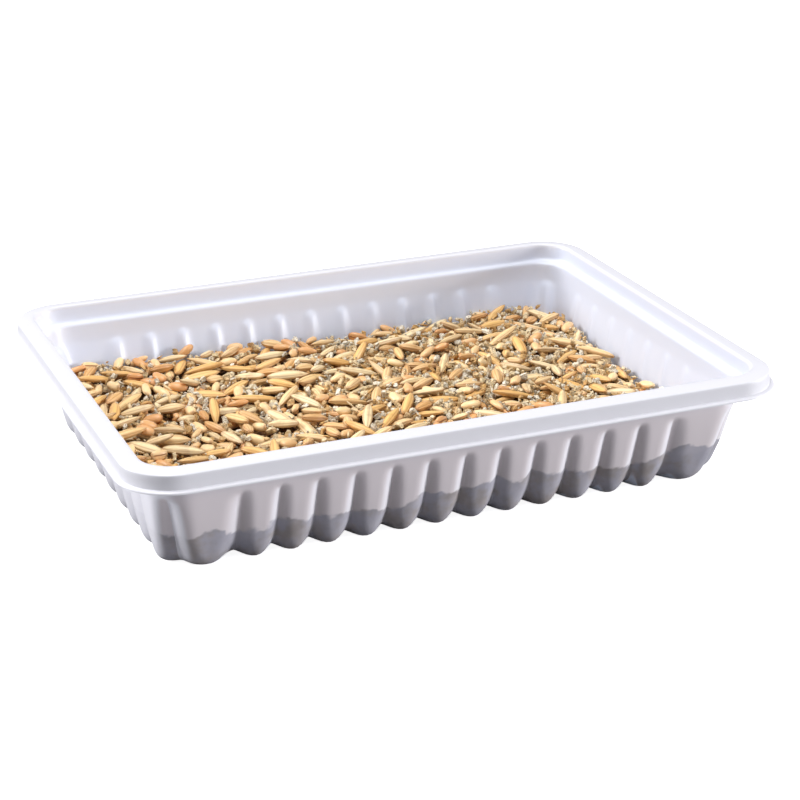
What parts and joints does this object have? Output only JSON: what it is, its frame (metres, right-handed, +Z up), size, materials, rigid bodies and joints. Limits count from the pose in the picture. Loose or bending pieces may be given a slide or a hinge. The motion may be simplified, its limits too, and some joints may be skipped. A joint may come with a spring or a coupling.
{
  "type": "wheatgrass tray before sprouting, filled with seed and vermiculite",
  "caption": "White fluted plastic tray filled with a dry mix of oat and wheat grains and vermiculite, ready to be watered and sprouted.",
  "frame": {"origin": "on the resting plane under the tray, in the middle of its length and width", "axes": "+X along the long side, +Y towards the side where the mix lies higher, +Z up"},
  "size_m": [0.183, 0.138, 0.033],
  "materials": {
    "tray_plastic": "thin white thermoformed sheet, soft gloss, slightly see-through",
    "seed_mix": "dry straw-gold and reddish tan grains with grey and silvery vermiculite granules"
  },
  "bodies": {
    "root": {"tray": "tray_plastic", "seed_mix": "seed_mix"}
  },
  "joints": []
}
